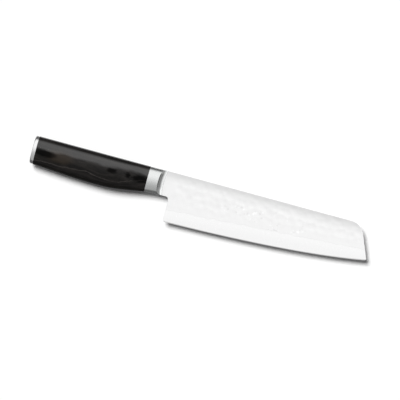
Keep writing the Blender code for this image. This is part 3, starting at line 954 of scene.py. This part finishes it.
def add_cards(settings):
    """Dark cards that only reflections see. They draw the dark edges on wood and steel."""
    material = bpy.data.materials.new("dark_card")
    tree = empty_tree(material)
    glow = wired(tree, "ShaderNodeEmission", {"Strength": settings.card_glow})
    wired(tree, "ShaderNodeOutputMaterial", {"Surface": glow.outputs[0]})
    for name, side, near, slant, height in CARDS:
        shape = bmesh.new()
        bmesh.ops.create_grid(shape, x_segments=1, y_segments=1, size=1.0)
        for corner in shape.verts:
            far = corner.co.y > 0.0
            aside = CARD_REACH if far else near + slant * corner.co.x
            corner.co = Vector((corner.co.x, side * aside, height if far else CARD_FOOT))
        card = mesh_object(name, shape, [material])
        card.visible_camera = False
        card.visible_diffuse = False
        card.visible_shadow = False
        card.visible_transmission = False


def add_lamp(settings):
    """A broad soft lamp, high above the knife, on the butt's and the spine's side of it."""
    light = bpy.data.lights.new("soft_lamp", "SUN")
    rays = Vector(LAMP_RAYS).normalized()
    light.energy = settings.lamp_share * math.pi / -rays.z
    light.angle = settings.lamp_spread
    lamp = placed("soft_lamp", light)
    lamp.rotation_mode = "QUATERNION"
    lamp.rotation_quaternion = rays.to_track_quat("-Z", "Y")
    lamp.visible_glossy = False


def add_dome(scene, settings):
    """The studio round the knife: white behind it, with bright patches on dim ground in reflections."""
    world = bpy.data.worlds.new("studio_dome")
    scene.world = world
    tree = empty_tree(world)
    towards = wired(tree, "ShaderNodeTexCoord").outputs["Generated"]
    dome = 0.0
    for middle, stops in DOME_PATCHES:
        aim = wired(tree, "ShaderNodeVectorMath", {0: towards, 1: Vector(middle).normalized()},
                    operation="DOT_PRODUCT").outputs["Value"]
        angle = calc(tree, "DIVIDE", calc(tree, "ARCCOSINE", aim), math.pi)
        dome = calc(tree, "MAXIMUM", dome, ramp(tree, angle, stops))
    mirrored = times(tree, dome, settings.dome_gain)
    path = wired(tree, "ShaderNodeLightPath").outputs
    seen = mixed(tree, path["Is Camera Ray"], mirrored, WHITE)
    fill = 1.0 - settings.lamp_share
    light = mixed(tree, seen_share(tree), (fill, fill, fill), seen)
    background = wired(tree, "ShaderNodeBackground", {"Color": light, "Strength": 1.0})
    wired(tree, "ShaderNodeOutputWorld", {"Surface": background.outputs[0]})


def add_camera(scene, settings):
    """Straight above the knife, turned so that the knife slopes down to the right."""
    data = bpy.data.cameras.new("camera")
    data.sensor_width = 36.0
    data.lens = data.sensor_width * settings.camera_height / settings.frame_width
    data.clip_start = 0.05
    data.clip_end = 50.0
    camera = placed("camera", data)
    camera.location = (CAMERA_X, CAMERA_Y, MIDDLE_Z + settings.camera_height)
    camera.rotation_euler = (0.0, 0.0, settings.camera_turn)
    scene.camera = camera


# Operators.

class KNIFE_OT_blade_jackets(bpy.types.Operator):
    """Makes the two layered jackets with their hammer marks and eased spine"""

    bl_idname = "knife.blade_jackets"
    bl_label = "Blade jackets"

    def execute(self, context):
        settings = context.scene.knife_blade
        steel = blade_material("layered_steel", settings)
        for node, side, seed in (("right_cladding", 1, 11), ("left_cladding", -1, 23)):
            low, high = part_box(node)
            inner_z = low.z if side > 0 else high.z
            shape = merged_copy(node, GROUND_FLAT)
            ease_spine(shape, side, inner_z, settings.rim_ease)
            cut_rows(shape, 1, SPINE_Y - ROWS_END, SPINE_Y - ROWS_START, settings.grid_step)
            cut_rows(shape, 0, BUTT_X + BOLSTER_FRONT, high.x, settings.grid_step)
            shape.normal_update()
            hammer(shape, side, inner_z, settings, seed)
            finish_piece(shape, node, [steel])
        return {"FINISHED"}


class KNIFE_OT_blade_core(bpy.types.Operator):
    """Makes the hard core with its ground faces and bevelled cutting edge"""

    bl_idname = "knife.blade_core"
    bl_label = "Blade core"

    def execute(self, context):
        steel = blade_material("edge_steel", context.scene.knife_blade)
        shape = merged_copy("blade_core", GROUND_FLAT)
        finish_piece(shape, "blade_core", [steel], sharp=BEVEL_CREASE)
        return {"FINISHED"}


class KNIFE_OT_grip(bpy.types.Operator):
    """Makes the wooden grip fair and finishes it as polished laminated wood"""

    bl_idname = "knife.grip"
    bl_label = "Wooden grip"

    def execute(self, context):
        settings = context.scene.knife_grip
        ends = [corner.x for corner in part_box("handle")]
        fair_piece("handle", ends, wood_material(settings), settings)
        return {"FINISHED"}


class KNIFE_OT_bolster(bpy.types.Operator):
    """Makes the scooped bolster fair and finishes it as satin steel"""

    bl_idname = "knife.bolster"
    bl_label = "Bolster"

    def execute(self, context):
        settings = context.scene.knife_grip
        steel = turned_steel("satin_steel", settings.satin_colour, roughness=0.27, scratch=3800.0)[0]
        shape = merged_copy("bolster")
        shape_bolster(shape, settings.bolster_step)
        ease_rims(shape, [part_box("bolster")[0].x], settings.rim_ease)
        finish_piece(shape, "bolster", [steel, scooped_steel_painted_shade(settings)])
        return {"FINISHED"}


class KNIFE_OT_end_cap(bpy.types.Operator):
    """Makes the end cap fair and finishes it as polished steel"""

    bl_idname = "knife.end_cap"
    bl_label = "End cap"

    def execute(self, context):
        settings = context.scene.knife_grip
        steel = turned_steel("polished_steel", settings.polished_colour, roughness=0.20, scratch=4600.0)[0]
        fair_piece("end_cap", [BUTT_X + CAP_LENGTH], steel, settings)
        return {"FINISHED"}


class KNIFE_OT_tang_rod(bpy.types.Operator):
    """Gives the hidden tang rod its drawn steel finish"""

    bl_idname = "knife.tang_rod"
    bl_label = "Tang rod"

    def execute(self, context):
        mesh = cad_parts["tang_rod"].data
        steel = turned_steel("plain_steel", DRAWN_STEEL, roughness=0.42, scratch=2600.0)[0]
        mesh.materials.clear()
        mesh.materials.append(steel)
        return {"FINISHED"}


class KNIFE_OT_stage(bpy.types.Operator):
    """Sets the floor, the dark cards, the lamp, the studio dome and the camera"""

    bl_idname = "knife.stage"
    bl_label = "Stage"

    def execute(self, context):
        settings = context.scene.knife_stage
        add_floor()
        add_cards(settings)
        add_lamp(settings)
        add_dome(context.scene, settings)
        add_camera(context.scene, settings)
        return {"FINISHED"}


class KNIFE_PT_finish(bpy.types.Panel):
    """Lists the knife's pieces and their settings"""

    bl_idname = "KNIFE_PT_finish"
    bl_label = "Santoku knife"
    bl_space_type = "VIEW_3D"
    bl_region_type = "UI"
    bl_category = "Knife"

    def draw(self, context):
        layout = self.layout
        for operator in PIECES + (KNIFE_OT_stage,):
            layout.operator(operator.bl_idname)
        for settings in (context.scene.knife_blade, context.scene.knife_grip, context.scene.knife_stage):
            box = layout.box()
            for name in settings.__annotations__:
                box.prop(settings, name)


PIECES = (KNIFE_OT_blade_jackets, KNIFE_OT_blade_core, KNIFE_OT_bolster, KNIFE_OT_grip, KNIFE_OT_end_cap,
          KNIFE_OT_tang_rod)
SETTINGS = (KnifeBladeSettings, KnifeGripSettings, KnifeStageSettings)
CLASSES = SETTINGS + PIECES + (KNIFE_OT_stage, KNIFE_PT_finish)


def register():
    """Registers the classes and gives the scene its settings."""
    for kind in CLASSES:
        bpy.utils.register_class(kind)
    bpy.types.Scene.knife_blade = bpy.props.PointerProperty(type=KnifeBladeSettings)
    bpy.types.Scene.knife_grip = bpy.props.PointerProperty(type=KnifeGripSettings)
    bpy.types.Scene.knife_stage = bpy.props.PointerProperty(type=KnifeStageSettings)


def unregister():
    """Takes back what register does."""
    del bpy.types.Scene.knife_stage
    del bpy.types.Scene.knife_grip
    del bpy.types.Scene.knife_blade
    for kind in reversed(CLASSES):
        bpy.utils.unregister_class(kind)


def main():
    """Builds the shader groups, the stage and the pieces."""
    register()
    bpy.context.scene.view_settings.view_transform = "Standard"
    build_layer_lines()
    build_brushed_grain()
    build_blade_face(bpy.context.scene.knife_blade)
    bpy.ops.knife.stage()
    bpy.ops.knife.blade_jackets()
    bpy.ops.knife.blade_core()
    bpy.ops.knife.bolster()
    bpy.ops.knife.grip()
    bpy.ops.knife.end_cap()
    bpy.ops.knife.tang_rod()


if __name__ == "__main__":
    main()
